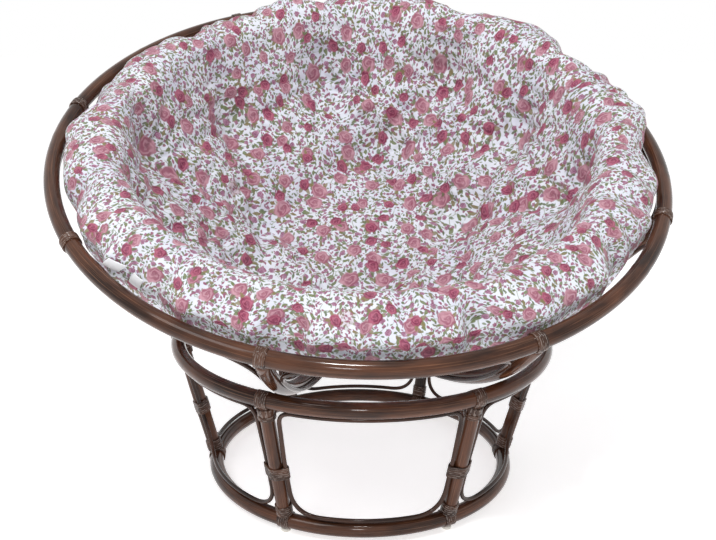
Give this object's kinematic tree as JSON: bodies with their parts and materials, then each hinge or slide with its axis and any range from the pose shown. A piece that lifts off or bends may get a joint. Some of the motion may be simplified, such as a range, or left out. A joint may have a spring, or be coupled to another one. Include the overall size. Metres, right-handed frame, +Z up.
{
  "type": "papasan chair",
  "caption": "Round rattan bowl chair: a tilted bowl of bent poles rests in the top ring of a low flared base and holds one thick tufted round cushion.",
  "frame": {"origin": "middle of the chair's footprint box, on the floor", "axes": "+Z up, -Y the way the tilted bowl faces, +X to the right of someone looking at the front from -Y"},
  "size_m": [1.0936, 0.9948, 0.8272],
  "materials": {
    "rattan": "dark reddish-brown stained rattan pole, semi-gloss lacquer",
    "binding": "split rattan peel wound in flat strands, semi-gloss lacquer",
    "glide": "matte off-white plastic",
    "cushion_cloth": "white cotton printed with pink and crimson roses, green leaves and small mauve buds"
  },
  "bodies": {
    "base": {"base_top_ring": "rattan", "base_lower_ring": "rattan", "base_post_1": "rattan", "base_bay_rod_1": "rattan", "base_top_binding_1": "binding", "base_mid_binding_1": "binding", "foot_glide_1": "glide", "base_post_2": "rattan", "base_bay_rod_2": "rattan", "base_top_binding_2": "binding", "base_mid_binding_2": "binding", "foot_glide_2": "glide", "base_post_3": "rattan", "base_bay_rod_3": "rattan", "base_top_binding_3": "binding", "base_mid_binding_3": "binding", "foot_glide_3": "glide", "base_post_4": "rattan", "base_bay_rod_4": "rattan", "base_top_binding_4": "binding", "base_mid_binding_4": "binding", "foot_glide_4": "glide", "base_post_5": "rattan", "base_bay_rod_5": "rattan", "base_top_binding_5": "binding", "base_mid_binding_5": "binding", "foot_glide_5": "glide", "base_post_6": "rattan", "base_bay_rod_6": "rattan", "base_top_binding_6": "binding", "base_mid_binding_6": "binding", "foot_glide_6": "glide"},
    "bowl": {"bowl_rim": "rattan", "bowl_bottom_ring": "rattan", "bowl_rib_1": "rattan", "rim_binding_1": "binding", "bowl_bay_rod_1": "rattan", "bowl_rib_2": "rattan", "rim_binding_2": "binding", "bowl_bay_rod_2": "rattan", "bowl_rib_3": "rattan", "rim_binding_3": "binding", "bowl_bay_rod_3": "rattan", "bowl_rib_4": "rattan", "rim_binding_4": "binding", "bowl_bay_rod_4": "rattan", "bowl_rib_5": "rattan", "rim_binding_5": "binding", "bowl_bay_rod_5": "rattan", "bowl_rib_6": "rattan", "rim_binding_6": "binding", "bowl_bay_rod_6": "rattan", "bowl_rib_7": "rattan", "rim_binding_7": "binding", "bowl_bay_rod_7": "rattan", "bowl_rib_8": "rattan", "rim_binding_8": "binding", "bowl_bay_rod_8": "rattan"},
    "cushion": {"seat_cushion": "cushion_cloth"}
  },
  "joints": [
    {"name": "bowl_tilt", "type": "hinge", "parent": "base", "child": "bowl", "pos_m": [0, -0.08818, 0.76426], "axis": [1, 0, 0], "range_deg": [-24.8, 6]},
    {"name": "cushion_lift", "type": "slide", "parent": "bowl", "child": "cushion", "axis": [0, -0.4194, 0.9078], "range_m": [0, 0.35]}
  ]
}
